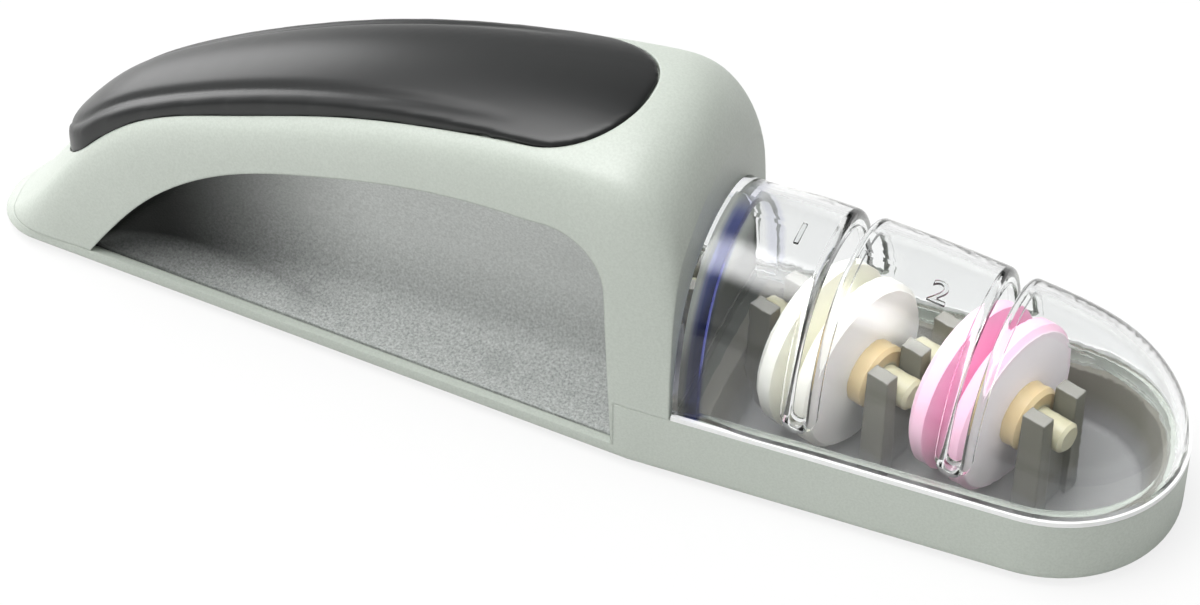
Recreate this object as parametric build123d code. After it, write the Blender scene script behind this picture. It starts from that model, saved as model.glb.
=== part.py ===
from build123d import *
import math
import os

# Two stage pull through knife sharpener with a water tank and a clear cover.
# X runs from the tail of the handle (-) to the rounded nose (+), Y across, Z up.
# The origin is on the surface that the rubber feet stand on, under the middle.

# overall
overall_length = 232.0
tray_width = 47.4
foot_stand = 0.6
overcut = 5.0
seat_gap = 0.1
lift_gap = 0.3

# tray that carries everything
tray_height = 14.0
sill_height = 3.8
tray_wall = 1.8
tray_floor = 1.6
tray_edge_round = 2.6
hood_rear_share = 0.0793
hood_front_share = 0.125
taper_start_share = 0.0905
tail_round_length = 11.0
tail_width_share = 0.515

# water tank in the nose half
tank_rear_gap = 5.1
tank_inset = 4.3
tank_taper = 16.0
tank_floor_round = 1.4
ledge_depth = 2.6

# grinding stages, turned against the blade slots
stage_pitch_share = 0.12069
stage_one_share = 0.22414
stage_yaw = 19.5
wheel_diameter = 32.0
wheel_floor_gap = 0.6
wheel_half_width_share = 0.21429
wheel_crown = 0.8
wheel_edge_round = 1.0
groove_mouth_share = 0.4167
groove_root_radius = 7.4
axle_diameter_share = 0.20714
axle_overhang = 1.55
axle_end_round = 0.6
bore_gap = 0.05
hub_gap = 0.4
hub_end_gap = 0.65
hub_round = 0.7

# fork posts that hold the axles
post_along_share = 0.1607
post_across = 2.7
post_rise = 6.2
post_draft = 0.7
saddle_web = 2.4
saddle_gap = 0.3

# clear cover
crown_clearance = 11.4
cover_inset = 0.5
cover_wall = 1.8
cover_power = 2.35
cover_flange = 1.0
cover_skirt_depth = 2.2
cover_skirt_wall = 1.5
collar_width = 4.0
collar_depth = 1.7
slot_width = 2.8
slot_foot_height = 7.6
slot_lip = 1.9
slot_lip_depth = 0.9
slot_round = 1.4

# upper shell with its hood
crest_height = 66.2
crown_wall = 3.6
shell_wall = 1.8
pad_pocket_depth = 1.2
hood_wall = 2.4

ridge_share = 0.748

# finger recess and the liner behind it
recess_power = 3.2
recess_reach = 8.0
recess_corner_share = 0.0474
liner_front_wall = 2.2
liner_tail_share = -0.431

# grip pad
pad_front_share = 0.067
pad_tail_share = -0.4297
pad_width_share = 0.74
pad_front_round_share = 0.9
pad_tail_round_share = 0.9
pad_stand = 1.2
pad_foot_share = 0.225

# rubber feet
foot_diameter = 9.0
foot_sunk = 0.8
foot_round = 0.3
foot_inset = 7.5
foot_rear_share = -0.3534
foot_front_share = 0.3966

# places that follow from the sizes above
nose_x = overall_length / 2
tail_x = -overall_length / 2
hood_rear_x = hood_rear_share * overall_length
hood_front_x = hood_front_share * overall_length
taper_start_x = taper_start_share * overall_length
tail_centre_x = tail_x + tail_round_length
tray_half = tray_width / 2
tail_half = tail_width_share * tray_half
tray_top = foot_stand + tray_height
sill_top = foot_stand + sill_height
floor_top = foot_stand + tray_floor
ledge_top = tray_top - ledge_depth
nose_centre_x = nose_x - tray_half
liner_tail_x = liner_tail_share * overall_length
pad_front_x = pad_front_share * overall_length
pad_tail_x = pad_tail_share * overall_length

# the two stages, their axles and their shared grid of posts
stage_pitch = stage_pitch_share * overall_length
stage_one_x = stage_one_share * overall_length
stage_places = (stage_one_x, stage_one_x + stage_pitch)
yaw = math.radians(stage_yaw)
along = Vector(math.cos(yaw), -math.sin(yaw), 0)
across = Vector(math.sin(yaw), math.cos(yaw), 0)
fork_offset = stage_pitch * math.cos(yaw) / 2
post_offset = stage_pitch * math.sin(yaw) / 2
wheel_radius = wheel_diameter / 2
post_along = post_along_share * stage_pitch
axle_diameter = axle_diameter_share * stage_pitch
axle_radius = axle_diameter / 2
axle_height = floor_top + wheel_radius + wheel_floor_gap
axle_half_length = fork_offset + post_along / 2 + axle_overhang
post_top = axle_height + post_rise
wheel_half_width = wheel_half_width_share * stage_pitch
groove_mouth_half = groove_mouth_share * wheel_half_width
crown_face = wheel_half_width + wheel_crown
hub_radius = 2 * post_offset - axle_radius - hub_gap
hub_length = fork_offset - post_along / 2 - crown_face - hub_end_gap

# the cover over them
cover_rear_x = hood_front_x + lift_gap
cover_half = tray_half - cover_inset
cover_crown = axle_height + wheel_radius + crown_clearance
tank_rear_x = cover_rear_x + tank_rear_gap

# where the outline's straight taper leaves the oval tail
taper_run = taper_start_x - tail_centre_x
taper_rise = tray_half * tail_round_length / tail_half
tail_turn = math.atan2(taper_rise, taper_run) + math.acos(tail_round_length / math.hypot(taper_run, taper_rise))
tail_touch = Vector(tail_centre_x + tail_round_length * math.cos(tail_turn), tail_half * math.sin(tail_turn))

# handle stations from tail to hood: place, crest, foot of the curved part, power
handle_x_shares = (-0.4996, -0.485, -0.458, -0.415, -0.35, -0.262, -0.16, -0.06, 0.01, 0.052, 0.081, 0.103, 0.118, 0.125)
handle_crest_shares = (0.031, 0.072, 0.181, 0.39, 0.608, 0.746, 0.877, 0.96, 0.995, 1.003, 1.0, 0.968, 0.902, 0.826)
handle_foot_shares = (0.22, 0.22, 0.22, 0.22, 0.22, 0.22, 0.22, 0.22, 0.225, 0.232, 0.24, 0.25, 0.272, 0.302)
handle_fall_shares = (0.26, 0.26, 0.23, 0.155, 0.1, 0.082, 0.077, 0.075, 0.074, 0.076, 0.085, 0.107, 0.135, 0.16)
handle_fold_shares = (0.6, 0.6, 0.62, 0.68, 0.78, 0.88, 0.92, 0.92, 0.91, 0.89, 0.86, 0.8, 0.745, 0.705)
# grip pad stations, from the cut off tail end to past the round front
pad_x_shares = (-0.455, -0.43, -0.39, -0.33, -0.25, -0.155, -0.06, 0.015, 0.055, 0.078)
pad_crest_shares = (0.279, 0.394, 0.546, 0.679, 0.806, 0.919, 0.985, 1.009, 1.008, 0.998)
pad_fall_shares = (0.2, 0.18, 0.145, 0.105, 0.089, 0.086, 0.086, 0.088, 0.092, 0.098)
pad_fold_shares = (0.65, 0.67, 0.71, 0.78, 0.86, 0.91, 0.92, 0.91, 0.89, 0.87)
# outline of the finger opening, from its tail corner along the top
opening_x_shares = (-0.3970, -0.3707, -0.3362, -0.2586, -0.1724, -0.1009, 0.0009)
opening_z_shares = (0.0665, 0.196, 0.340, 0.538, 0.650, 0.7145, 0.752)
opening_front_top_shares = (0.0672, 0.768)
opening_front_foot_shares = (0.0793, 0.0665)
# depth stations of the finger recess
recess_x_shares = (-0.4010, -0.3707, -0.3362, -0.2586, -0.1724, -0.1009, 0.0009, 0.0850)
recess_z_shares = (0.078, 0.202, 0.346, 0.544, 0.656, 0.7205, 0.758, 0.785)
recess_y_shares = (0.53, 0.42, 0.30, 0.135, 0.1055, 0.1055, 0.1055, 0.1055)
# cover stations, closer together towards the nose, and the fall of its ridge
cover_stations = 12
cover_last_turn = 87
cover_fall_power = 1.6
cover_fall_root = 0.43


def plan_half(x):
    # half width of the whole outline seen from above
    if x > nose_centre_x:
        return math.sqrt(max(tray_half**2 - (x - nose_centre_x) ** 2, 0))
    if x > taper_start_x:
        return tray_half
    if x > tail_touch.X:
        share = (x - tail_touch.X) / (taper_start_x - tail_touch.X)
        return tail_touch.Y + share * (tray_half - tail_touch.Y)
    reach = (tail_centre_x - x) / tail_round_length
    return tail_half * math.sqrt(max(1 - reach**2, 0))


def plan_outline(inset, rear_x, front_x):
    # the outline seen from above, drawn in by a wall, between two places
    tail = Vector(tail_centre_x, 0)
    turn = math.degrees(tail_turn)
    upper_tail = (tail_touch.X, tail_touch.Y)
    upper_taper = (taper_start_x, tray_half)
    upper_nose = (nose_centre_x, tray_half)
    lower_nose = (nose_centre_x, -tray_half)
    lower_taper = (taper_start_x, -tray_half)
    lower_tail = (tail_touch.X, -tail_touch.Y)
    edges = [
        EllipticalCenterArc(tail, tail_round_length, tail_half, turn, arc_size=360 - 2 * turn),
        Line(lower_tail, lower_taper),
        Line(lower_taper, lower_nose),
        ThreePointArc(lower_nose, (nose_x, 0), upper_nose),
        Line(upper_nose, upper_taper),
        Line(upper_taper, upper_tail),
    ]
    face = make_face(edges)
    if inset > 0:
        face = offset(face, amount=-inset)
    span = front_x - rear_x
    window = Pos((rear_x + front_x) / 2, 0) * Rectangle(span, tray_width * 2)
    return face & window


def quarter_hold(power):
    # how far a cubic's handles reach so that it follows a superellipse's quarter
    return (2 ** (-1 / power) - 0.5) / 0.375


def arch_face(x, half, crest, foot, base, power):
    # upright sides up to the foot, then a rounded top up to the crest
    hold = quarter_hold(power)
    shoulder = foot + (crest - foot) * hold
    edges = [
        Line((x, -half, base), (x, -half, foot)),
        Bezier((x, -half, foot), (x, -half, shoulder), (x, -half * hold, crest), (x, 0, crest)),
        Bezier((x, 0, crest), (x, half * hold, crest), (x, half, shoulder), (x, half, foot)),
        Line((x, half, foot), (x, half, base)),
        Line((x, half, base), (x, -half, base)),
    ]
    return Face(Wire(edges))


def crowned_face(x, half, crest, foot, fall_share, fold_share):
    # upright sides that fold over at a ridge into a gently crowned top
    ridge_half = ridge_share * half
    ridge_top = crest - fall_share * (crest - foot)
    crown_lift = 4 * (crest - ridge_top) / 3
    # where the crown's end slope would meet the upright side
    fold_top = ridge_top - 2 * (crest - ridge_top) * (half - ridge_half) / ridge_half
    side_hold = foot + fold_share * (fold_top - foot)
    ridge_hold = ridge_half + fold_share * (half - ridge_half)
    ridge_hold_top = ridge_top + fold_share * (fold_top - ridge_top)
    crown_top = ridge_top + crown_lift
    edges = [
        Line((x, -half, -overcut), (x, -half, foot)),
        Bezier((x, -half, foot), (x, -half, side_hold), (x, -ridge_hold, ridge_hold_top), (x, -ridge_half, ridge_top)),
        Bezier(
            (x, -ridge_half, ridge_top),
            (x, -ridge_half / 3, crown_top),
            (x, ridge_half / 3, crown_top),
            (x, ridge_half, ridge_top),
        ),
        Bezier((x, ridge_half, ridge_top), (x, ridge_hold, ridge_hold_top), (x, half, side_hold), (x, half, foot)),
        Line((x, half, foot), (x, half, -overcut)),
        Line((x, half, -overcut), (x, -half, -overcut)),
    ]
    return Face(Wire(edges))


def handle_body(side_inset, crest_inset):
    faces = []
    for x_share, crest_share, foot_share, fall_share, fold_share in zip(
        handle_x_shares, handle_crest_shares, handle_foot_shares, handle_fall_shares, handle_fold_shares
    ):
        x = x_share * overall_length
        half = plan_half(x) - side_inset
        crest = crest_share * crest_height - crest_inset
        foot = foot_share * crest_share * crest_height
        if half > side_inset and crest > foot + side_inset:
            faces.append(crowned_face(x, half, crest, foot, fall_share, fold_share))
    return loft(faces)


def pad_body(grow):
    faces = []
    for x_share, crest_share, fall_share, fold_share in zip(
        pad_x_shares, pad_crest_shares, pad_fall_shares, pad_fold_shares
    ):
        x = x_share * overall_length
        crest = crest_share * crest_height + grow
        foot = pad_foot_share * crest
        faces.append(crowned_face(x, plan_half(x) + pad_stand + grow, crest, foot, fall_share, fold_share))
    return loft(faces)


def cover_body(side_inset, crest_inset, base):
    # the ridge falls ever faster towards the nose and closes it as a dome
    reach = nose_x - cover_inset - side_inset - cover_rear_x
    rise = cover_crown - tray_top - crest_inset
    nose_radius = cover_half - side_inset
    faces = []
    for station in range(cover_stations):
        share = math.sin(math.radians(cover_last_turn * station / (cover_stations - 1)))
        x = cover_rear_x + share * reach
        half = nose_radius
        if x > nose_centre_x:
            half = math.sqrt(nose_radius**2 - (x - nose_centre_x) ** 2)
        crest = tray_top + rise * (1 - share**cover_fall_power) ** cover_fall_root
        faces.append(arch_face(x, half, crest, tray_top, base, cover_power))
    return loft(faces)


def upright_box(rear_x, front_x, half, low, high):
    size = Vector(front_x - rear_x, 2 * half, high - low)
    return Pos((rear_x + front_x) / 2, 0, (low + high) / 2) * Box(size.X, size.Y, size.Z)


def pad_outline(grow):
    # a long taper seen from above, with generously rounded corners
    tail_wide = pad_width_share * plan_half(pad_tail_x)
    front_wide = pad_width_share * plan_half(pad_front_x)
    upper_tail = (pad_tail_x, tail_wide)
    lower_tail = (pad_tail_x, -tail_wide)
    lower_front = (pad_front_x, -front_wide)
    upper_front = (pad_front_x, front_wide)
    face = make_face(Polyline(upper_tail, lower_tail, lower_front, upper_front, close=True))
    face = fillet(face.vertices().group_by(Axis.X)[-1], pad_front_round_share * front_wide)
    face = fillet(face.vertices().group_by(Axis.X)[0], pad_tail_round_share * tail_wide)
    if grow > 0:
        face = offset(face, amount=grow)
    return face


def opening_prism(foot):
    # the finger opening's outline, right through the handle
    top = [
        (x_share * overall_length, z_share * crest_height)
        for x_share, z_share in zip(opening_x_shares, opening_z_shares)
    ]
    front_top = (opening_front_top_shares[0] * overall_length, opening_front_top_shares[1] * crest_height)
    front_foot = (opening_front_foot_shares[0] * overall_length, foot)
    tail_foot = (top[0][0], foot)
    edges = [Spline([(top[0][0], sill_top)] + top[1:]), Line(top[-1], front_top), Line(front_top, front_foot)]
    edges.append(Line(front_foot, tail_foot))
    if foot < sill_top:
        edges.append(Line(tail_foot, (top[0][0], sill_top)))
    face = make_face(edges)
    corner = face.vertices().sort_by_distance(Vector(*front_top))[0]
    face = fillet(corner, recess_corner_share * overall_length)
    return extrude(Plane.XZ * face, amount=tray_width, both=True)


def recess_scoop(side):
    # a pocket with rounded inner corners that deepens from the tail
    hold = quarter_hold(recess_power)
    faces = []
    for x_share, z_share, y_share in zip(recess_x_shares, recess_z_shares, recess_y_shares):
        x = x_share * overall_length
        outer = plan_half(x) + recess_reach
        inner = y_share * tray_half
        bend = outer - (outer - inner) * hold
        top = z_share * crest_height
        middle = (top + sill_top) / 2
        rise = (top - sill_top) / 2 * hold
        foot_points = [(outer, sill_top), (bend, sill_top), (inner, middle - rise), (inner, middle)]
        head_points = [(inner, middle), (inner, middle + rise), (bend, top), (outer, top)]
        edges = [Bezier([(x, side * y, z) for y, z in points]) for points in (foot_points, head_points)]
        edges.append(Line((x, side * outer, top), (x, side * outer, sill_top)))
        faces.append(Face(Wire(edges)))
    return loft(faces)


def on_axle(part, x):
    # from a part turned about its own Z to its place on a stage's axle
    centre = Vector(x, 0, axle_height)
    return Plane(origin=centre, x_dir=across, z_dir=along) * part


# upper shell: arched handle and hood in one moulding, open below
handle_outer = handle_body(0, 0)
handle_inner = handle_body(shell_wall, crown_wall)
cavity_room = upright_box(liner_tail_x, hood_front_x - hood_wall, tray_half, -overcut, crest_height)
shell_zone_profile = Polyline(
    (tail_x - overcut, sill_top),
    (hood_rear_x, sill_top),
    (hood_rear_x, tray_top),
    (hood_front_x + overcut, tray_top),
    (hood_front_x + overcut, 2 * crest_height),
    (tail_x - overcut, 2 * crest_height),
    close=True,
)
shell_zone = extrude(Plane.XZ * make_face(shell_zone_profile), amount=tray_width, both=True)
upper_shell = (handle_outer & shell_zone) - (handle_inner & cavity_room)
pocket = extrude(pad_outline(seat_gap), amount=2 * crest_height) - handle_body(pad_pocket_depth, pad_pocket_depth)
upper_shell -= pocket
upper_shell -= opening_prism(-overcut)

# liner that closes the finger recesses on both sides of a middle web
liner_front_x = opening_front_foot_shares[0] * overall_length + liner_front_wall
liner_room = upright_box(liner_tail_x + seat_gap, liner_front_x, tray_half, floor_top + seat_gap, crest_height)
handle_liner = handle_body(shell_wall + seat_gap, crown_wall + seat_gap) & liner_room
opening = opening_prism(sill_top)
handle_liner -= (recess_scoop(-1) & opening) + (recess_scoop(1) & opening)

# soft grip pad let into the crown of the handle
grip_pad = extrude(pad_outline(0), amount=2 * crest_height) & pad_body(0)
grip_pad -= handle_body(pad_pocket_depth - seat_gap, pad_pocket_depth - seat_gap)

# tray: long sill under the handle, deep bowl under the hood and the cover
tray_block = extrude(Pos(0, 0, foot_stand) * plan_outline(0, tail_x - overcut, nose_x + overcut), amount=tray_height)
bottom_rim = tray_block.faces().sort_by(Axis.Z)[0].edges()
tray_block = fillet(bottom_rim, tray_edge_round)
handle_zone = upright_box(tail_x - overcut, hood_rear_x, tray_half * 2, -overcut, crest_height)
sill_zone = upright_box(tail_x - overcut, hood_rear_x, tray_half * 2, -overcut, sill_top)
tray_rear = tray_block & sill_zone & handle_body(-seat_gap, 0)
base_tray = tray_rear + (tray_block - handle_zone)
pan_face = plan_outline(tray_wall, liner_tail_x, hood_front_x - hood_wall)
base_tray -= extrude(Pos(0, 0, floor_top) * pan_face, amount=tray_height)

# seat for the cover's skirt, then the tapered tank with a rounded floor
rim_face = plan_outline(tray_wall, cover_rear_x, nose_x + overcut)
base_tray -= extrude(Pos(0, 0, ledge_top) * rim_face, amount=tray_height)
tank_depth = ledge_top - floor_top
tank_face = plan_outline(tank_inset, tank_rear_x, nose_x + overcut)
tank_room = extrude(Pos(0, 0, ledge_top) * tank_face, amount=-tank_depth, taper=tank_taper)
tank_room = fillet(tank_room.faces().sort_by(Axis.Z)[0].edges(), tank_floor_round)
base_tray -= tank_room

# fork posts on a skewed grid, so that the two stages share the middle one
fork_height = post_top - floor_top + tray_floor / 2
saddle_height = axle_height - floor_top + tray_floor / 2
post_face = Rectangle(post_along, post_across)
post_solid = extrude(post_face, amount=-fork_height, taper=-post_draft)
for place in stage_places:
    for end in (-1, 1):
        middle = Vector(place, 0, 0) + along * (end * fork_offset)
        web = Box(saddle_web, 2 * post_offset, saddle_height)
        web = Pos(middle.X, middle.Y, axle_height - saddle_height / 2) * Rot(0, 0, -stage_yaw) * web
        base_tray += web
        for side in (-1, 1):
            spot = middle + across * (side * post_offset)
            base_tray += Pos(spot.X, spot.Y, post_top) * Rot(0, 0, -stage_yaw) * post_solid
for place in stage_places:
    saddle = Cylinder(axle_diameter / 2 + saddle_gap, 4 * axle_half_length)
    base_tray -= on_axle(saddle, place)

# seats for the rubber feet under the tray
foot_spots = []
for share in (foot_rear_share, foot_front_share):
    foot_x = share * overall_length
    for side in (-1, 1):
        foot_spots.append((foot_x, side * (plan_half(foot_x) - foot_inset)))
foot_height = foot_stand + foot_sunk - seat_gap
feet = []
for spot in foot_spots:
    seat = Cylinder(foot_diameter / 2 + seat_gap, foot_sunk + overcut)
    base_tray -= Pos(spot[0], spot[1], foot_stand + foot_sunk - (foot_sunk + overcut) / 2) * seat
    foot = Cylinder(foot_diameter / 2, foot_height)
    foot = chamfer(foot.edges().group_by(Axis.Z)[0], foot_round)
    feet.append(Pos(spot[0], spot[1], foot_height / 2) * foot)

# clear cover: domed shell with a lip round each blade slot
cover_outer = cover_body(0, 0, tray_top - overcut)
cover_outer &= upright_box(cover_rear_x - overcut, nose_x + overcut, tray_width, tray_top, 2 * cover_crown)
slot_centre = tray_top + slot_foot_height


def slot_room(place, half):
    # upright gap with a round foot, right across the cover
    gap = upright_box(place - half, place + half, tray_width, slot_centre, 2 * cover_crown)
    return gap + Pos(place, 0, slot_centre) * Rot(90, 0, 0) * Cylinder(half, 2 * tray_width)


lip_rooms = []
for place in stage_places:
    cover_outer -= slot_room(place, slot_width / 2)
    rim = []
    for edge in cover_outer.edges():
        box = edge.bounding_box()
        near = abs(box.center().X - place) < slot_width
        if near and box.size.X < 2 * slot_width and edge.geom_type != GeomType.LINE:
            rim.append(edge)
    cover_outer = fillet(rim, slot_round)
    lip_rooms.append(slot_room(place, slot_width / 2 + slot_lip))
cover_deep = cover_body(cover_wall + slot_lip_depth, cover_wall + slot_lip_depth, -overcut)
cover_collar = cover_body(cover_wall + collar_depth, cover_wall + collar_depth, -overcut)
collar_zone = upright_box(cover_rear_x - overcut, cover_rear_x + collar_width, tray_width, -overcut, 2 * cover_crown)
cover_room = cover_body(cover_wall, cover_wall, -overcut)
cover_room -= collar_zone - cover_collar
for lip_room in lip_rooms:
    cover_room -= lip_room - cover_deep
clear_cover = cover_outer - cover_room
flange_face = plan_outline(0, cover_rear_x, nose_x + overcut)
clear_cover += extrude(Pos(0, 0, tray_top) * flange_face, amount=cover_flange) - cover_room
skirt_inset = tray_wall + lift_gap
skirt_face = plan_outline(skirt_inset, cover_rear_x + lift_gap, nose_x + overcut)
skirt_face -= plan_outline(skirt_inset + cover_skirt_wall, cover_rear_x, nose_x + overcut)
skirt = extrude(Pos(0, 0, tray_top - cover_skirt_depth) * skirt_face, amount=cover_skirt_depth + cover_flange)
clear_cover += skirt

# grinding wheels: two ceramic discs face to face make one V groove
bore_radius = axle_radius + bore_gap
disc_edges = [
    Line((bore_radius, 0), (groove_root_radius, 0)),
    Line((groove_root_radius, 0), (wheel_radius, groove_mouth_half)),
    Line((wheel_radius, groove_mouth_half), (wheel_radius, wheel_half_width)),
    Line((wheel_radius, wheel_half_width), (hub_radius, crown_face)),
    Line((hub_radius, crown_face), (bore_radius, crown_face)),
    Line((bore_radius, crown_face), (bore_radius, 0)),
]
disc_face = make_face(disc_edges)
disc_rim = disc_face.vertices().sort_by_distance(Vector(wheel_radius, wheel_half_width))[0]
disc_face = chamfer(disc_rim, wheel_edge_round)
disc = revolve(Plane.XZ * disc_face, Axis.Z)

# axle moulded in one with its first collar, the second one pressed on
shaft = Cylinder(axle_radius, 2 * axle_half_length)
shaft = chamfer(shaft.edges().filter_by(GeomType.CIRCLE), axle_end_round)
collar = Cylinder(hub_radius, hub_length)
collar = chamfer(collar.edges().group_by(Axis.Z)[-1], hub_round)
loose_collar = Pos(0, 0, crown_face + hub_length / 2) * (collar - Cylinder(bore_radius, 2 * hub_length))
fixed_collar = Rot(180, 0, 0) * Pos(0, 0, crown_face + hub_length / 2) * collar
axle = shaft + fixed_collar

nodes = {
    "base_tray": base_tray,
    "upper_shell": upper_shell,
    "handle_liner": handle_liner,
    "grip_pad": grip_pad,
    "clear_cover": clear_cover,
}
for number, foot in enumerate(feet, start=1):
    nodes["foot_%d" % number] = foot
for number, place in enumerate(stage_places, start=1):
    nodes["axle_%d" % number] = on_axle(axle, place)
    nodes["collar_%d" % number] = on_axle(loose_collar, place)
    nodes["disc_%d_nose" % number] = on_axle(disc, place)
    nodes["disc_%d_tail" % number] = on_axle(Rot(180, 0, 0) * disc, place)

os.makedirs("parts", exist_ok=True)
for name, part in nodes.items():
    export_step(part, "parts/" + name + ".step")
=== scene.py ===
import math

import bpy
from mathutils import Matrix, Vector


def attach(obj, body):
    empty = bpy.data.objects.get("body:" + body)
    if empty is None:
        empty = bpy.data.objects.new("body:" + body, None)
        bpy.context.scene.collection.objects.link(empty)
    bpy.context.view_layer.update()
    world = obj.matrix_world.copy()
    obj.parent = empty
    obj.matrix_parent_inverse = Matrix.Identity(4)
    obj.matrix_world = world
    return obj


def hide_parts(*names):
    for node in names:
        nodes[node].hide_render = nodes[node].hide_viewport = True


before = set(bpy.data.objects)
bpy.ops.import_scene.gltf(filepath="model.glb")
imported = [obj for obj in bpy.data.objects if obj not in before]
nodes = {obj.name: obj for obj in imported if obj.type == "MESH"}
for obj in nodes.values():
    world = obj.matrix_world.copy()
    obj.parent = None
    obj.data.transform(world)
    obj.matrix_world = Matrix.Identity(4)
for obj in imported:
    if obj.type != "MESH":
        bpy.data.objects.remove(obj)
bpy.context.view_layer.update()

# The studio: a pale sweep that runs off to white, a large softbox overhead on
# the tail's side and a wide one behind the tail, whose sheen the grip pad
# shows. The camera stands where the photograph was taken from.
eye = Vector((0.1874466, -0.4476775, 0.4549431))
right = Vector((0.92489098, 0.3801865, 0.00590732))
above = Vector((-0.26020026, 0.62151549, 0.73892782))
behind = Vector((0.27725889, -0.68496476, 0.6737587))

lens = bpy.data.cameras.new("camera")
lens.lens = 108.03
lens.sensor_width = 36.0
lens.clip_start = 0.01
camera = bpy.data.objects.new("camera", lens)
bpy.context.scene.collection.objects.link(camera)
turn = Matrix((right, above, behind)).transposed().to_4x4()
camera.matrix_world = Matrix.Translation(eye) @ turn
bpy.context.scene.camera = camera
bpy.context.scene.view_settings.view_transform = "Standard"


def linear(code):
    """An sRGB hex value as linear light, for a shader's colour socket."""
    light = []
    for at in (0, 2, 4):
        share = int(code[at : at + 2], 16) / 255
        dark = share <= 0.04045
        light.append(share / 12.92 if dark else ((share + 0.055) / 1.055) ** 2.4)
    return light + [1.0]


def empty_tree(owner):
    """The node tree of a lamp, a world or a material, with nothing in it."""
    owner.use_nodes = True
    owner.node_tree.nodes.clear()
    return owner.node_tree


def add(tree, kind, sockets=None, **settings):
    """Adds a node, with its settings, and gives each socket its value or its link.

    Sockets go by name, or by number where names repeat: 0 and 1 are the terms of
    a Math or VectorMath node. A Mix node goes by its factor, 0, from colour 6 to
    colour 7, and a MixShader from shader 1 to shader 2.
    """
    made = tree.nodes.new(kind)
    for name, value in settings.items():
        setattr(made, name, value)
    for name, value in (sockets or {}).items():
        if isinstance(value, bpy.types.NodeSocket):
            tree.links.new(value, made.inputs[name])
        else:
            made.inputs[name].default_value = value
    return made


def lamp(name, place, size, watts, core):
    """A softbox that faces the part, bright in its core and fading to its edge."""
    middle_of_part = Vector((0, 0, 0.03))
    light = bpy.data.lights.new(name, "AREA")
    light.size = size
    light.energy = watts
    cloth = empty_tree(light)
    across = add(cloth, "ShaderNodeNewGeometry").outputs["Parametric"]
    across = add(
        cloth,
        "ShaderNodeVectorMath",
        {0: across, 1: (0.5, 0.5, 0.0)},
        operation="SUBTRACT",
    )
    flat = add(
        cloth,
        "ShaderNodeVectorMath",
        {0: across.outputs[0], 1: (1.0, 1.0, 0.0)},
        operation="MULTIPLY",
    )
    reach = add(cloth, "ShaderNodeVectorMath", {0: flat.outputs[0]}, operation="LENGTH")
    fade = add(
        cloth,
        "ShaderNodeMapRange",
        {
            "Value": reach.outputs["Value"],
            "From Min": core,
            "From Max": 0.5,
            "To Min": 1.0,
            "To Max": 0.0,
        },
        interpolation_type="SMOOTHSTEP",
    )
    glow = add(
        cloth,
        "ShaderNodeEmission",
        {"Color": linear("FFFFFF"), "Strength": fade.outputs[0]},
    )
    add(cloth, "ShaderNodeOutputLight", {"Surface": glow.outputs[0]})
    holder = bpy.data.objects.new(name, light)
    holder.location = place
    aim = middle_of_part - Vector(place)
    holder.rotation_euler = aim.to_track_quat("-Z", "Y").to_euler()
    bpy.context.scene.collection.objects.link(holder)


lamp("overhead_lamp", place=(-0.35, -0.2, 1.4), size=1.6, watts=65, core=0.12)
lamp("tail_bank", place=(-1.6, 0.9, 0.5), size=1.4, watts=24, core=0.35)

world = bpy.data.worlds.new("white_studio")
bpy.context.scene.world = world
sky = empty_tree(world)
rays = add(sky, "ShaderNodeLightPath")
in_glass = rays.outputs["Is Transmission Ray"]
way = add(sky, "ShaderNodeTexCoord").outputs["Generated"]
way = add(sky, "ShaderNodeSeparateXYZ", {"Vector": way})
# glass shows the white sweep, and the dim ceiling where it bends the view upwards
upwards = add(
    sky,
    "ShaderNodeMapRange",
    {"Value": way.outputs["Z"], "From Min": 0.25, "From Max": 0.4},
)
direct = add(
    sky,
    "ShaderNodeMath",
    {0: rays.outputs["Diffuse Depth"], 1: 0.5},
    operation="LESS_THAN",
)
bent = add(
    sky,
    "ShaderNodeMath",
    {0: upwards.outputs[0], 1: direct.outputs[0]},
    operation="MULTIPLY",
)
bent = add(
    sky, "ShaderNodeMath", {0: bent.outputs[0], 1: in_glass}, operation="MULTIPLY"
)
through = add(
    sky, "ShaderNodeMath", {0: in_glass, 1: bent.outputs[0]}, operation="SUBTRACT"
)
seen = add(
    sky,
    "ShaderNodeMath",
    {0: rays.outputs["Is Camera Ray"], 1: through.outputs[0]},
    operation="MAXIMUM",
)
# the room is lighter on the tail's side than on the nose's
side = add(
    sky,
    "ShaderNodeMapRange",
    {
        "Value": way.outputs["X"],
        "From Min": -0.8,
        "From Max": 0.8,
        "To Min": 0.84,
        "To Max": 0.22,
    },
)
# gloss also shows the room's dark rail, low behind the table, and its dim ceiling
rail_foot = add(
    sky,
    "ShaderNodeMapRange",
    {
        "Value": way.outputs["Z"],
        "From Min": 0.06,
        "From Max": 0.09,
        "To Min": 1.0,
        "To Max": 0.0,
    },
)
rail_top = add(
    sky,
    "ShaderNodeMapRange",
    {"Value": way.outputs["Z"], "From Min": 0.15, "From Max": 0.18},
)
ceiling = add(
    sky,
    "ShaderNodeMapRange",
    {
        "Value": way.outputs["Z"],
        "From Min": 0.45,
        "From Max": 0.85,
        "To Min": 1.0,
        "To Max": 0.35,
    },
)
room = add(
    sky,
    "ShaderNodeMath",
    {0: rail_foot.outputs[0], 1: rail_top.outputs[0]},
    operation="MAXIMUM",
)
room = add(
    sky,
    "ShaderNodeMath",
    {0: room.outputs[0], 1: ceiling.outputs[0]},
    operation="MULTIPLY",
)
mirrored = add(
    sky,
    "ShaderNodeMath",
    {0: rays.outputs["Is Glossy Ray"], 1: bent.outputs[0]},
    operation="MAXIMUM",
)
shown = add(
    sky,
    "ShaderNodeMix",
    {"Factor": mirrored.outputs[0], "A": 1.0, "B": room.outputs[0]},
    data_type="FLOAT",
)
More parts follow.
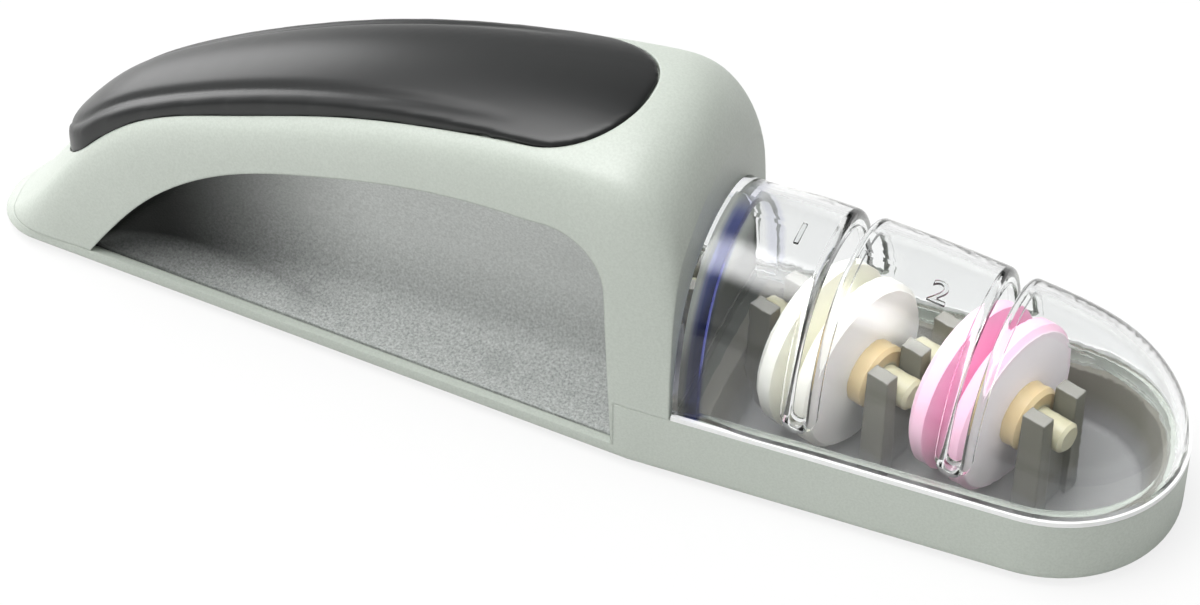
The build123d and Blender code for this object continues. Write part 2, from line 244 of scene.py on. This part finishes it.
level = add(
    sky,
    "ShaderNodeMath",
    {0: side.outputs[0], 1: shown.outputs[0]},
    operation="MULTIPLY",
)
# the room is dimmer near the table than overhead
lift = add(
    sky,
    "ShaderNodeMapRange",
    {
        "Value": way.outputs["Z"],
        "From Min": 0.1,
        "From Max": 0.75,
        "To Min": 0.64,
        "To Max": 1.3,
    },
)
level = add(
    sky,
    "ShaderNodeMath",
    {0: level.outputs[0], 1: lift.outputs[0]},
    operation="MULTIPLY",
)
fill = add(
    sky,
    "ShaderNodeBackground",
    {"Color": linear("F7F8F8"), "Strength": level.outputs[0]},
)
paper = add(sky, "ShaderNodeBackground", {"Color": linear("FFFFFF"), "Strength": 1.0})
both = add(
    sky,
    "ShaderNodeMixShader",
    {0: seen.outputs[0], 1: fill.outputs[0], 2: paper.outputs[0]},
)
add(sky, "ShaderNodeOutputWorld", {"Surface": both.outputs[0]})

# the floor lies a tenth of a millimetre under the feet
bpy.ops.object.select_all(action="DESELECT")
bpy.ops.mesh.primitive_plane_add(size=6.0, location=(0, 0, -0.0001))
floor = bpy.context.object
floor.name = "studio_floor"
paint = bpy.data.materials.new("matt_white_paper")
tree = empty_tree(paint)
rays = add(tree, "ShaderNodeLightPath")
seen = add(
    tree,
    "ShaderNodeMath",
    {0: rays.outputs["Is Camera Ray"], 1: rays.outputs["Is Transmission Ray"]},
    operation="MAXIMUM",
)
# the camera sees most of it as plain white, and the rest keeps the part's shadow
share = add(tree, "ShaderNodeMath", {0: seen.outputs[0], 1: 0.82}, operation="MULTIPLY")
matt = add(tree, "ShaderNodeBsdfDiffuse", {"Color": linear("DEDEDD")})
glow = add(tree, "ShaderNodeEmission", {"Color": linear("FFFFFF"), "Strength": 1.0})
both = add(
    tree,
    "ShaderNodeMixShader",
    {0: share.outputs[0], 1: matt.outputs[0], 2: glow.outputs[0]},
)
add(tree, "ShaderNodeOutputMaterial", {"Surface": both.outputs[0]})
floor.data.materials.append(paint)

# The tray is the base moulding: a sill under the handle and a deep bowl under
# the cover, injection moulded in pale grey green ABS. The bowl holds water, and
# its inside is painted greyer and darker than the outside, as painted shade.
nose_centre = 0.0923  # x of the round nose's middle
bowl_radius = 0.0206  # just past half the bowl's width and its round nose
bowl_rear = 0.0315  # x of the bowl's rear end
hood_front = 0.0288  # x just behind the face of the hood's front wall
underside_top = 0.0014  # z that parts the bowl's inside from the underside
over_ledge = 0.0135  # z over the bowl's ledge and under the posts' tops
spark_grain = 2200.0  # noise cells of about 0.45 mm


def from_bowl_line(tree, axes):
    """Distance from the line that runs back from the middle of the round nose."""
    ahead = add(
        tree,
        "ShaderNodeMath",
        {0: axes.outputs["X"], 1: nose_centre},
        operation="SUBTRACT",
    )
    ahead = add(
        tree, "ShaderNodeMath", {0: ahead.outputs[0], 1: 0.0}, operation="MAXIMUM"
    )
    flat = add(
        tree, "ShaderNodeCombineXYZ", {"X": ahead.outputs[0], "Y": axes.outputs["Y"]}
    )
    reach = add(tree, "ShaderNodeVectorMath", {0: flat.outputs[0]}, operation="LENGTH")
    return reach.outputs["Value"]


abs_plastic = bpy.data.materials.new("moulded_grey_green_abs")
# Moulded ABS: satin, with a spark grain of about 0.45 mm that softens each
# reflection, and a very slight drift of colour over the moulding.
tree = empty_tree(abs_plastic)
place = add(tree, "ShaderNodeTexCoord").outputs["Object"]
drift = add(tree, "ShaderNodeTexNoise", {"Vector": place, "Scale": 22.0, "Detail": 2.0})
shade = add(
    tree,
    "ShaderNodeMix",
    {0: drift.outputs[0], 6: linear("BAC1B8"), 7: linear("C1C7BF")},
    data_type="RGBA",
)
grain = add(
    tree,
    "ShaderNodeTexNoise",
    {"Vector": place, "Scale": spark_grain, "Detail": 2.0, "Roughness": 0.6},
)
pits = add(
    tree,
    "ShaderNodeMapRange",
    {
        "Value": grain.outputs[0],
        "From Min": 0.35,
        "From Max": 0.65,
        "To Min": 0.16,
        "To Max": 0.0,
    },
)
shade = add(
    tree,
    "ShaderNodeMix",
    {0: pits.outputs[0], 6: shade.outputs[2], 7: linear("7F877C")},
    data_type="RGBA",
)
# painted shade: the bowl's inside is painted grey at its floor and darker and browner
# up its wall
axes = add(tree, "ShaderNodeSeparateXYZ", {"Vector": place})
inside = add(
    tree,
    "ShaderNodeMath",
    {0: from_bowl_line(tree, axes), 1: bowl_radius},
    operation="LESS_THAN",
)
front = add(
    tree,
    "ShaderNodeMath",
    {0: axes.outputs["X"], 1: bowl_rear},
    operation="GREATER_THAN",
)
bowl = add(
    tree,
    "ShaderNodeMath",
    {0: inside.outputs[0], 1: front.outputs[0]},
    operation="MULTIPLY",
)
above_floor = add(
    tree,
    "ShaderNodeMath",
    {0: axes.outputs["Z"], 1: underside_top},
    operation="GREATER_THAN",
)
bowl = add(
    tree,
    "ShaderNodeMath",
    {0: bowl.outputs[0], 1: above_floor.outputs[0]},
    operation="MULTIPLY",
)
height = add(
    tree,
    "ShaderNodeMapRange",
    {"Value": axes.outputs["Z"], "From Min": 0.0035, "From Max": 0.0080},
)
bowl_painted_shade = add(
    tree,
    "ShaderNodeMix",
    {0: height.outputs[0], 6: linear("8C8D8D"), 7: linear("6E6D63")},
    data_type="RGBA",
)
# painted highlight: the posts' flat tops are painted paler than their shaded sides
facing = add(tree, "ShaderNodeNewGeometry").outputs["Normal"]
facing = add(tree, "ShaderNodeSeparateXYZ", {"Vector": facing})
flat_top = add(
    tree, "ShaderNodeMath", {0: facing.outputs["Z"], 1: 0.9}, operation="GREATER_THAN"
)
high = add(
    tree,
    "ShaderNodeMath",
    {0: axes.outputs["Z"], 1: over_ledge},
    operation="GREATER_THAN",
)
tops = add(
    tree,
    "ShaderNodeMath",
    {0: flat_top.outputs[0], 1: high.outputs[0]},
    operation="MULTIPLY",
)
bowl_painted_shade = add(
    tree,
    "ShaderNodeMix",
    {0: tops.outputs[0], 6: bowl_painted_shade.outputs[2], 7: linear("8F8E88")},
    data_type="RGBA",
)
shade = add(
    tree,
    "ShaderNodeMix",
    {0: bowl.outputs[0], 6: shade.outputs[2], 7: bowl_painted_shade.outputs[2]},
    data_type="RGBA",
)
# painted shade: it is dark behind the cover, so the hood's front wall is painted
# dark low down
past_hood = add(
    tree,
    "ShaderNodeMath",
    {0: axes.outputs["X"], 1: hood_front},
    operation="GREATER_THAN",
)
before_bowl = add(
    tree, "ShaderNodeMath", {0: axes.outputs["X"], 1: bowl_rear}, operation="LESS_THAN"
)
front_wall = add(
    tree,
    "ShaderNodeMath",
    {0: past_hood.outputs[0], 1: before_bowl.outputs[0]},
    operation="MULTIPLY",
)
front_wall = add(
    tree,
    "ShaderNodeMath",
    {0: front_wall.outputs[0], 1: inside.outputs[0]},
    operation="MULTIPLY",
)
hood_painted_shade = add(
    tree,
    "ShaderNodeMapRange",
    {
        "Value": axes.outputs["Z"],
        "From Min": 0.022,
        "From Max": 0.033,
        "To Min": 1.0,
        "To Max": 0.0,
    },
    interpolation_type="SMOOTHSTEP",
)
hood_painted_shade = add(
    tree,
    "ShaderNodeMath",
    {0: hood_painted_shade.outputs[0], 1: front_wall.outputs[0]},
    operation="MULTIPLY",
)
shade = add(
    tree,
    "ShaderNodeMix",
    {0: hood_painted_shade.outputs[0], 6: shade.outputs[2], 7: linear("4A4F48")},
    data_type="RGBA",
)
# outer edges are shaded as if they were rounded by 0.6 mm
eased = add(tree, "ShaderNodeBevel", {"Radius": 0.0006}, samples=6)
relief = add(
    tree,
    "ShaderNodeBump",
    {
        "Strength": 0.35,
        "Distance": 0.00009,
        "Height": grain.outputs[0],
        "Normal": eased.outputs[0],
    },
)
plastic = add(
    tree,
    "ShaderNodeBsdfPrincipled",
    {
        "Base Color": shade.outputs[2],
        "Roughness": 0.42,
        "IOR": 1.53,
        "Normal": relief.outputs[0],
    },
)
add(tree, "ShaderNodeOutputMaterial", {"Surface": plastic.outputs[0]})
nodes["base_tray"].material_slots[0].material = abs_plastic

# Four small rubber feet are pressed into round seats under the tray, so that
# it stays put on a worktop while a knife is drawn through.
rubber = bpy.data.materials.new("moulded_grey_rubber")
# Moulded rubber: nearly matt, with a faint cloudy bloom of 4 mm and a fine
# tooth of 0.4 mm.
tree = empty_tree(rubber)
place = add(tree, "ShaderNodeTexCoord").outputs["Object"]
bloom = add(
    tree, "ShaderNodeTexNoise", {"Vector": place, "Scale": 260.0, "Detail": 3.0}
)
shade = add(
    tree,
    "ShaderNodeMix",
    {0: bloom.outputs[0], 6: linear("4E504F"), 7: linear("656765")},
    data_type="RGBA",
)
tooth = add(
    tree, "ShaderNodeTexNoise", {"Vector": place, "Scale": 2600.0, "Detail": 2.0}
)
relief = add(
    tree,
    "ShaderNodeBump",
    {"Strength": 0.3, "Distance": 0.00006, "Height": tooth.outputs[0]},
)
skin = add(
    tree,
    "ShaderNodeBsdfPrincipled",
    {
        "Base Color": shade.outputs[2],
        "Roughness": 0.78,
        "IOR": 1.5,
        "Normal": relief.outputs[0],
    },
)
add(tree, "ShaderNodeOutputMaterial", {"Surface": skin.outputs[0]})
for name in ("foot_1", "foot_2", "foot_3", "foot_4"):
    nodes[name].material_slots[0].material = rubber

# Each axle is one ivory moulding with its first collar, and a second collar is
# pressed on from the other end to hold the pair of discs on it. The ends rest
# in the forks of the posts.
stage_places = {"1": 0.052, "2": 0.080}  # x of each axle's middle
axle_height = 0.0188
skew = math.radians(19.5)
axle_way = (math.cos(skew), -math.sin(skew), 0.0)
for stage, middle_x in stage_places.items():
    acetal = bpy.data.materials.new("moulded_ivory_acetal_stage_" + stage)
    # Moulded acetal: waxy and slightly translucent, so light softens its
    # shadows, and amber in the thick collars beside the cream of the shaft.
    tree = empty_tree(acetal)
    place = add(tree, "ShaderNodeTexCoord").outputs["Object"]
    cloud = add(
        tree, "ShaderNodeTexNoise", {"Vector": place, "Scale": 180.0, "Detail": 2.0}
    )
    thin = add(
        tree,
        "ShaderNodeMix",
        {0: cloud.outputs[0], 6: linear("B6B296"), 7: linear("C4C1A8")},
        data_type="RGBA",
    )
    thick = add(
        tree,
        "ShaderNodeMix",
        {0: cloud.outputs[0], 6: linear("CDB68A"), 7: linear("D9C7A0")},
        data_type="RGBA",
    )
    # distance from the axle's own line
    middle = (middle_x, 0.0, axle_height)
    spot = add(
        tree, "ShaderNodeVectorMath", {0: place, 1: middle}, operation="SUBTRACT"
    )
    off = add(
        tree,
        "ShaderNodeVectorMath",
        {0: spot.outputs[0], 1: axle_way},
        operation="CROSS_PRODUCT",
    )
    off = add(tree, "ShaderNodeVectorMath", {0: off.outputs[0]}, operation="LENGTH")
    hub = add(
        tree,
        "ShaderNodeMapRange",
        {"Value": off.outputs["Value"], "From Min": 0.0030, "From Max": 0.0036},
    )
    shade = add(
        tree,
        "ShaderNodeMix",
        {0: hub.outputs[0], 6: thin.outputs[2], 7: thick.outputs[2]},
        data_type="RGBA",
    )
    tooth = add(
        tree, "ShaderNodeTexNoise", {"Vector": place, "Scale": 1800.0, "Detail": 1.0}
    )
    relief = add(
        tree,
        "ShaderNodeBump",
        {"Strength": 0.08, "Distance": 0.00003, "Height": tooth.outputs[0]},
    )
    wax = add(
        tree,
        "ShaderNodeBsdfPrincipled",
        {
            "Base Color": shade.outputs[2],
            "Roughness": 0.34,
            "IOR": 1.48,
            "Subsurface Weight": 0.25,
            "Subsurface Radius": (1.0, 0.75, 0.5),
            "Subsurface Scale": 0.0015,
            "Normal": relief.outputs[0],
        },
    )
    add(tree, "ShaderNodeOutputMaterial", {"Surface": wax.outputs[0]})
    nodes["axle_" + stage].material_slots[0].material = acetal
    nodes["collar_" + stage].material_slots[0].material = acetal

# Two pairs of ground ceramic discs turn on the axles, coarse white in front of
# the handle and fine pink by the nose. Each pair's bevels make a V groove that
# the edge is drawn through.
for stage, face, rim, groove in (
    ("1", "F6F6F3", "F0F0E8", "F1F0E2"),
    ("2", "FFF7FC", "F4C6DD", "F4B4D4"),
):
    ceramic = bpy.data.materials.new("sintered_ceramic_stage_" + stage)
    # Sintered ceramic: matt and finely granular, with grit about 0.24 mm wide.
    # It is painted paler on its outer face, as painted light, and deeper in colour
    # towards the groove, as painted shade.
    tree = empty_tree(ceramic)
    place = add(tree, "ShaderNodeTexCoord").outputs["Object"]
    # distance along the axle from the middle of the groove
    middle = (stage_places[stage], 0.0, axle_height)
    spot = add(
        tree, "ShaderNodeVectorMath", {0: place, 1: middle}, operation="SUBTRACT"
    )
    depth = add(
        tree,
        "ShaderNodeVectorMath",
        {0: spot.outputs[0], 1: axle_way},
        operation="DOT_PRODUCT",
    )
    depth = add(
        tree, "ShaderNodeMath", {0: depth.outputs["Value"]}, operation="ABSOLUTE"
    )
    inner = add(
        tree,
        "ShaderNodeMapRange",
        {"Value": depth.outputs[0], "From Min": 0.0022, "From Max": 0.0030},
    )
    outer = add(
        tree,
        "ShaderNodeMapRange",
        {"Value": depth.outputs[0], "From Min": 0.0058, "From Max": 0.0062},
    )
    shade = add(
        tree,
        "ShaderNodeMix",
        {0: inner.outputs[0], 6: linear(groove), 7: linear(rim)},
        data_type="RGBA",
    )
    shade = add(
        tree,
        "ShaderNodeMix",
        {0: outer.outputs[0], 6: shade.outputs[2], 7: linear(face)},
        data_type="RGBA",
    )
    grit = add(
        tree,
        "ShaderNodeTexNoise",
        {"Vector": place, "Scale": 4200.0, "Detail": 3.0, "Roughness": 0.7},
    )
    relief = add(
        tree,
        "ShaderNodeBump",
        {"Strength": 0.35, "Distance": 0.00006, "Height": grit.outputs[0]},
    )
    stone = add(
        tree,
        "ShaderNodeBsdfPrincipled",
        {
            "Base Color": shade.outputs[2],
            "Roughness": 0.55,
            "IOR": 1.6,
            "Subsurface Weight": 0.15,
            "Subsurface Radius": (1.0, 0.9, 0.9),
            "Subsurface Scale": 0.001,
            "Normal": relief.outputs[0],
        },
    )
    add(tree, "ShaderNodeOutputMaterial", {"Surface": stone.outputs[0]})
    for end in ("nose", "tail"):
        nodes["disc_" + stage + "_" + end].material_slots[0].material = ceramic

# The liner closes the handle behind its finger openings. It is a separate
# moulding in silver grey ABS, pushed up into the shell from below.
round_marks = (
    (-0.0487, -0.0120, 0.0056),
    (-0.0083, -0.0135, 0.0059),
    (0.0009, -0.0026, 0.0255),
)
silver = bpy.data.materials.new("grained_silver_grey_abs")
# ABS with a metallic pigment, moulded on a spark grain of about 0.45 mm, whose
# light and dark speckle is partly the grain's own tone and partly painted glints.
tree = empty_tree(silver)
place = add(tree, "ShaderNodeTexCoord").outputs["Object"]
grain = add(
    tree,
    "ShaderNodeTexNoise",
    {"Vector": place, "Scale": spark_grain, "Detail": 3.0, "Roughness": 0.65},
)
glint = add(
    tree,
    "ShaderNodeMapRange",
    {"Value": grain.outputs[0], "From Min": 0.3, "From Max": 0.7},
)
shade = add(
    tree,
    "ShaderNodeMix",
    {0: glint.outputs[0], 6: linear("8F9290"), 7: linear("CCCFCD")},
    data_type="RGBA",
)
# three faint round marks, 6 mm wide, show on the wall in the photograph
marks = None
for middle in round_marks:
    off = add(tree, "ShaderNodeVectorMath", {0: place, 1: middle}, operation="SUBTRACT")
    off = add(tree, "ShaderNodeVectorMath", {0: off.outputs[0]}, operation="LENGTH")
    mark = add(
        tree,
        "ShaderNodeMapRange",
        {
            "Value": off.outputs["Value"],
            "From Min": 0.0027,
            "From Max": 0.0032,
            "To Min": 0.2,
            "To Max": 0.0,
        },
    )
    if marks is not None:
        mark = add(
            tree,
            "ShaderNodeMath",
            {0: marks.outputs[0], 1: mark.outputs[0]},
            operation="MAXIMUM",
        )
    marks = mark
shade = add(
    tree,
    "ShaderNodeMix",
    {0: marks.outputs[0], 6: shade.outputs[2], 7: linear("8E918F")},
    data_type="RGBA",
)
# painted light: the wall is painted paler towards its top
axes = add(tree, "ShaderNodeSeparateXYZ", {"Vector": place})
high = add(
    tree,
    "ShaderNodeMapRange",
    {
        "Value": axes.outputs["Z"],
        "From Min": 0.006,
        "From Max": 0.020,
        "To Min": 0.0,
        "To Max": 0.45,
    },
)
shade = add(
    tree,
    "ShaderNodeMix",
    {0: high.outputs[0], 6: shade.outputs[2], 7: linear("E6E8E6")},
    data_type="RGBA",
)
# painted shade: the wall's tail end is painted nearly black, where deep shade falls,
# and the low ledge stays silver further back
wall = add(
    tree,
    "ShaderNodeMapRange",
    {"Value": axes.outputs["X"], "From Min": -0.080, "From Max": -0.036},
    interpolation_type="SMOOTHSTEP",
)
low = add(
    tree,
    "ShaderNodeMapRange",
    {
        "Value": axes.outputs["Z"],
        "From Min": 0.0055,
        "From Max": 0.0090,
        "To Min": 1.0,
        "To Max": 0.0,
    },
)
ledge = add(
    tree,
    "ShaderNodeMapRange",
    {"Value": axes.outputs["X"], "From Min": -0.094, "From Max": -0.056},
)
ledge = add(
    tree,
    "ShaderNodeMath",
    {0: low.outputs[0], 1: ledge.outputs[0]},
    operation="MULTIPLY",
)
out_of_painted_shade = add(
    tree,
    "ShaderNodeMath",
    {0: wall.outputs[0], 1: ledge.outputs[0]},
    operation="MAXIMUM",
)
shade = add(
    tree,
    "ShaderNodeMix",
    {0: out_of_painted_shade.outputs[0], 6: linear("090C09"), 7: shade.outputs[2]},
    data_type="RGBA",
)
relief = add(
    tree,
    "ShaderNodeBump",
    {"Strength": 0.65, "Distance": 0.00014, "Height": grain.outputs[0]},
)
flake = add(
    tree,
    "ShaderNodeBsdfPrincipled",
    {
        "Base Color": shade.outputs[2],
        "Metallic": 0.2,
        "Roughness": 0.5,
        "Specular IOR Level": 0.3,
        "Normal": relief.outputs[0],
    },
)
add(tree, "ShaderNodeOutputMaterial", {"Surface": flake.outputs[0]})
nodes["handle_liner"].material_slots[0].material = silver

# The arched handle and its hood are one thin walled moulding in the tray's own
# ABS, and snap down on to the tray.
nodes["upper_shell"].material_slots[0].material = abs_plastic

# The grip is a long soft pad, moulded in a black elastomer with a fully rounded
# rim and pressed into the pocket along the handle's crown.
bpy.ops.object.select_all(action="DESELECT")
grip = bpy.data.objects.new("soft_grip", nodes["grip_pad"].data.copy())
bpy.context.scene.collection.objects.link(grip)
bpy.context.view_layer.objects.active = grip
grip.select_set(True)
bpy.ops.object.mode_set(mode="EDIT")
bpy.ops.mesh.select_all(action="SELECT")
bpy.ops.mesh.remove_doubles(threshold=0.000005)
bpy.ops.object.mode_set(mode="OBJECT")
fine = grip.modifiers.new("fine_skin", "REMESH")
fine.mode = "VOXEL"
fine.voxel_size = 0.0006
bpy.ops.object.modifier_apply(modifier=fine.name)
rounded = grip.modifiers.new("rounded_rim", "SMOOTH")
rounded.factor = 0.6
rounded.iterations = 9
bpy.ops.object.modifier_apply(modifier=rounded.name)

# a shallow channel 3 mm in from the edge sets off the rolled rim, and runs out
# towards the front; the pad's half width is read at stations 2 mm long
channel_inset, channel_width, channel_depth = 0.0031, 0.001, 0.0006
channel_front, run_out_length = -0.004, 0.03
station_length = 0.002
# read before any point moves, since a normal is worked out anew after each move
facing_up = [min(1.0, max(0.0, vertex.normal.z * 2.5)) for vertex in grip.data.vertices]
half_widths = {}
for vertex in grip.data.vertices:
    station = math.floor(vertex.co.x / station_length)
    half_widths[station] = max(half_widths.get(station, 0.0), abs(vertex.co.y))
for vertex, upward in zip(grip.data.vertices, facing_up):
    place_on = vertex.co.x / station_length - 0.5
    station = math.floor(place_on)
    far = half_widths.get(station + 1, half_widths.get(station, 0.0))
    near = half_widths.get(station, far)
    inset = near + (far - near) * (place_on - station) - abs(vertex.co.y)
    hollow = math.exp(-(((inset - channel_inset) / channel_width) ** 2))
    run_out = min(1.0, max(0.0, (channel_front - vertex.co.x) / run_out_length))
    vertex.co.z -= channel_depth * hollow * run_out * upward
bpy.ops.object.shade_smooth()

elastomer = bpy.data.materials.new("moulded_black_elastomer")
# Thermoplastic elastomer: a soft satin black whose broad sheen greys towards a
# low light, with a faint mottle of 22 mm and a fine tooth of 0.4 mm.
tree = empty_tree(elastomer)
place = add(tree, "ShaderNodeTexCoord").outputs["Object"]
mottle = add(
    tree, "ShaderNodeTexNoise", {"Vector": place, "Scale": 45.0, "Detail": 3.0}
)
shade = add(
    tree,
    "ShaderNodeMix",
    {0: mottle.outputs[0], 6: linear("141515"), 7: linear("1B1C1C")},
    data_type="RGBA",
)
tooth = add(
    tree, "ShaderNodeTexNoise", {"Vector": place, "Scale": 2600.0, "Detail": 2.0}
)
relief = add(
    tree,
    "ShaderNodeBump",
    {"Strength": 0.12, "Distance": 0.00004, "Height": tooth.outputs[0]},
)
skin = add(
    tree,
    "ShaderNodeBsdfPrincipled",
    {
        "Base Color": shade.outputs[2],
        "Roughness": 0.36,
        "IOR": 1.5,
        "Normal": relief.outputs[0],
    },
)
add(tree, "ShaderNodeOutputMaterial", {"Surface": skin.outputs[0]})
grip.data.materials.clear()
grip.data.materials.append(elastomer)
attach(grip, "housing")
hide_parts("grip_pad")

# The cover is a thin dome over the wheels, moulded in clear styrene with two
# lipped slots for the blade. It lifts off so that the bowl can be filled.
flange_reach = 0.0229  # just inside the flange's outer edge
flange_top = 0.01565  # z just over its top
clear = bpy.data.materials.new("moulded_clear_styrene")
# Clear styrene: colourless and glossy, with bright rims where the wall is seen
# edge on. A violet band on the rear rim is coloured in as a painted reflection,
# stronger on the near half.
tree = empty_tree(clear)
place = add(tree, "ShaderNodeTexCoord").outputs["Object"]
axes = add(tree, "ShaderNodeSeparateXYZ", {"Vector": place})
before = add(
    tree,
    "ShaderNodeMapRange",
    {
        "Value": axes.outputs["X"],
        "From Min": 0.0336,
        "From Max": 0.0344,
        "To Min": 1.0,
        "To Max": 0.0,
    },
)
after = add(
    tree,
    "ShaderNodeMapRange",
    {"Value": axes.outputs["X"], "From Min": 0.0308, "From Max": 0.0316},
)
band = add(
    tree,
    "ShaderNodeMath",
    {0: before.outputs[0], 1: after.outputs[0]},
    operation="MULTIPLY",
)
half = add(
    tree,
    "ShaderNodeMapRange",
    {
        "Value": axes.outputs["Y"],
        "From Min": -0.001,
        "From Max": 0.005,
        "To Min": 1.0,
        "To Max": 0.2,
    },
)
band = add(
    tree,
    "ShaderNodeMath",
    {0: band.outputs[0], 1: half.outputs[0]},
    operation="MULTIPLY",
)
shade = add(
    tree,
    "ShaderNodeMix",
    {0: band.outputs[0], 6: linear("FDFEFE"), 7: linear("747CC4")},
    data_type="RGBA",
)
glass = add(
    tree,
    "ShaderNodeBsdfPrincipled",
    {
        "Base Color": shade.outputs[2],
        "Roughness": 0.015,
        "IOR": 1.5,
        "Transmission Weight": 1.0,
    },
)
# to the lamps the cover is open air, so that they light what is under it
open_air = add(tree, "ShaderNodeBsdfTransparent", {"Color": linear("FFFFFF")})
rays = add(tree, "ShaderNodeLightPath")
# the flange's outer edge is mostly opaque white, which draws the white line round the
# cover
outer = add(
    tree,
    "ShaderNodeMath",
    {0: from_bowl_line(tree, axes), 1: flange_reach},
    operation="GREATER_THAN",
)
low = add(
    tree, "ShaderNodeMath", {0: axes.outputs["Z"], 1: flange_top}, operation="LESS_THAN"
)
outer = add(
    tree,
    "ShaderNodeMath",
    {0: outer.outputs[0], 1: low.outputs[0]},
    operation="MULTIPLY",
)
white_edge_share = add(
    tree, "ShaderNodeMath", {0: outer.outputs[0], 1: 0.85}, operation="MULTIPLY"
)
edge = add(
    tree,
    "ShaderNodeBsdfPrincipled",
    {"Base Color": linear("FFFFFF"), "Roughness": 0.35, "IOR": 1.5},
)
wall = add(
    tree,
    "ShaderNodeMixShader",
    {0: white_edge_share.outputs[0], 1: glass.outputs[0], 2: edge.outputs[0]},
)
both = add(
    tree,
    "ShaderNodeMixShader",
    {0: rays.outputs["Is Shadow Ray"], 1: wall.outputs[0], 2: open_air.outputs[0]},
)
add(tree, "ShaderNodeOutputMaterial", {"Surface": both.outputs[0]})
nodes["clear_cover"].material_slots[0].material = clear

# The stage numbers are raised by about 0.4 mm on the cover's crown, beside
# their slots, in the same clear moulding.
over_cover = 0.08  # z from which the crown is felt for
stand_off = 0.0001  # of a figure's mid plane over the crown
for figure, middle_x, middle_y in (("1", 0.0441, -0.0019), ("2", 0.0700, -0.0030)):
    bpy.ops.object.select_all(action="DESELECT")
    bpy.ops.object.text_add(location=(0, 0, 0))
    numeral = bpy.context.object
    numeral.name = "raised_numeral_" + figure
    numeral.data.body = figure
    numeral.data.size = 0.0072
    numeral.data.extrude = 0.00022
    numeral.data.bevel_depth = 0.00007
    numeral.data.align_x = "CENTER"
    numeral.data.align_y = "CENTER"
    bpy.ops.object.convert(target="MESH")
    for vertex in numeral.data.vertices:
        x = vertex.co.x + middle_x
        y = vertex.co.y + middle_y
        start = Vector((x, y, over_cover))
        crown = nodes["clear_cover"].ray_cast(start, Vector((0, 0, -1)))[1]
        vertex.co = (x, y, crown.z + vertex.co.z + stand_off)
    numeral.data.materials.clear()
    numeral.data.materials.append(clear)
    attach(numeral, "cover")
